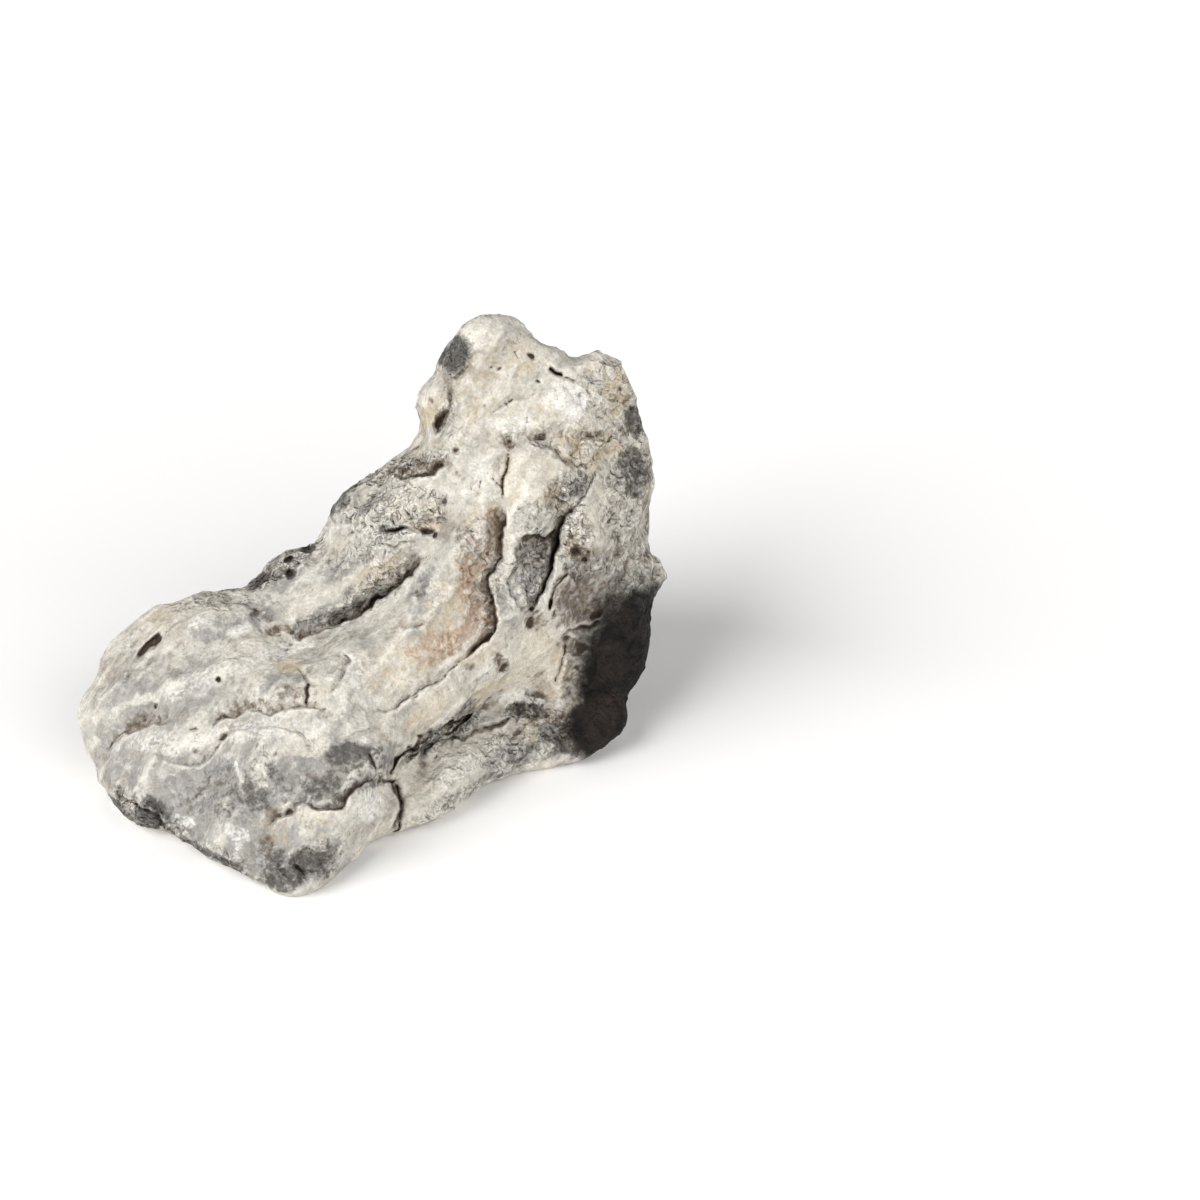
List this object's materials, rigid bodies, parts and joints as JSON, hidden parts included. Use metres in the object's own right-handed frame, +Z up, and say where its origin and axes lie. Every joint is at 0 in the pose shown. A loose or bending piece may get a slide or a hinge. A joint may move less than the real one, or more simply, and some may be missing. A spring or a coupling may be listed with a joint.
{
  "type": "seiryu stone",
  "caption": "Weathered grey limestone block: a wedge with a low round lobe and a tall peak, folded and pitted, set down as tank or garden hardscape.",
  "frame": {"origin": "centre of the bounding box seen from above, on the ground", "axes": "+X to the right from the low lobe to the peak's side, +Y away from the viewer towards the steep back, +Z up"},
  "size_m": [0.18, 0.1628, 0.1332],
  "materials": {
    "limestone": "matte weathered grey limestone with beige crust, rust stains and white calcite"
  },
  "bodies": {
    "root": {"stone": "limestone"}
  },
  "joints": []
}
